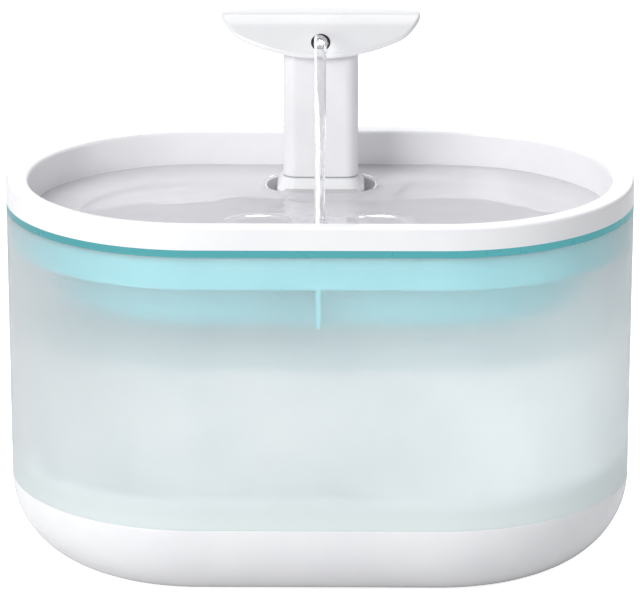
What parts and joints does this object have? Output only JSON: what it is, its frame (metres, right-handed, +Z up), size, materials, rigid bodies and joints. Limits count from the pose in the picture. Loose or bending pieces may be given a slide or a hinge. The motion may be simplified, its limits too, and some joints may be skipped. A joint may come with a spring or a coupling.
{
  "type": "pet water fountain",
  "caption": "Capsule-shaped pet drinking fountain: frosted tank on a white induction base, aqua filter tray, white drinking tray and T-shaped spout, all lifting apart.",
  "frame": {"origin": "on the ground under the middle of the capsule-shaped plan, at the underside of the feet", "axes": "+X along the capsule's length, to the right seen from the drinking side; -Y towards the drinking side, where the spout pours; +Z up"},
  "size_m": [0.225, 0.14, 0.1916],
  "materials": {
    "white_gloss": "satin gloss moulded ABS",
    "white_matte": "matte moulded",
    "frosted_tank": "frosted translucent",
    "teal_plastic": "translucent aqua, satin",
    "pump_plastic": "matte moulded",
    "grey_silicone": "soft matte",
    "black_rubber": "matte",
    "black_plastic": "satin",
    "steel": "plain",
    "copper": "enamelled copper wire",
    "ferrite": "dull sintered",
    "circuit_board": "solder mask",
    "foam": "open-cell foam",
    "carbon": "granules",
    "filter_felt": "non-woven"
  },
  "bodies": {
    "base": {"base_shell": "white_gloss", "base_deck": "white_matte", "bottom_cover": "white_matte", "base_screws": "steel", "foot_pad_1": "grey_silicone", "foot_pad_2": "grey_silicone", "foot_pad_3": "grey_silicone", "foot_pad_4": "grey_silicone", "power_socket": "black_plastic", "socket_gasket": "black_rubber", "control_board": "circuit_board", "transmitter_coil": "copper", "ferrite_plate": "ferrite", "coil_holder": "white_matte"},
    "tank": {"tank": "frosted_tank"},
    "pump": {"pump_housing": "pump_plastic", "pump_base_cap": "pump_plastic", "suction_foot_1": "grey_silicone", "suction_foot_2": "grey_silicone", "suction_foot_3": "grey_silicone", "suction_foot_4": "grey_silicone", "receiver_coil": "copper", "stator_core": "ferrite", "stator_winding": "copper", "impeller_shaft": "steel", "rear_shaft_bush": "black_rubber", "front_shaft_bush": "black_rubber", "volute_cover": "pump_plastic", "riser_tube": "pump_plastic", "riser_ring": "black_rubber"},
    "impeller": {"impeller": "pump_plastic", "rotor_magnet": "ferrite"},
    "intake_cover": {"intake_cover": "pump_plastic", "pump_sponge": "foam"},
    "filter_tray": {"filter_tray": "teal_plastic"},
    "filter_cartridge": {"filter_frame": "white_matte", "filter_media": "carbon", "filter_cloth": "filter_felt"},
    "drinking_tray": {"drinking_tray": "white_gloss"},
    "spout": {"spout_column": "white_gloss", "spout_head": "white_gloss", "spout_duct": "white_matte", "outlet_seal": "black_rubber"}
  },
  "joints": [
    {"name": "tank_lift", "type": "slide", "parent": "base", "child": "tank", "axis": [0, 0, 1], "range_m": [0, 0.06]},
    {"name": "pump_lift", "type": "slide", "parent": "tank", "child": "pump", "axis": [0, 0, 1], "range_m": [0, 0.1]},
    {"name": "impeller_spin", "type": "hinge", "parent": "pump", "child": "impeller", "pos_m": [0, 0.039, 0.061], "axis": [1, 0, 0], "continuous": true},
    {"name": "intake_cover_slide", "type": "slide", "parent": "pump", "child": "intake_cover", "axis": [1, 0, 0], "range_m": [0, 0.045]},
    {"name": "filter_tray_lift", "type": "slide", "parent": "pump", "child": "filter_tray", "axis": [0, 0, 1], "range_m": [0, 0.05]},
    {"name": "cartridge_lift", "type": "slide", "parent": "filter_tray", "child": "filter_cartridge", "axis": [0, 0, 1], "range_m": [0, 0.04]},
    {"name": "drinking_tray_lift", "type": "slide", "parent": "filter_cartridge", "child": "drinking_tray", "axis": [0, 0, 1], "range_m": [0, 0.04]},
    {"name": "spout_lift", "type": "slide", "parent": "drinking_tray", "child": "spout", "axis": [0, 0, 1], "range_m": [0, 0.03]}
  ]
}
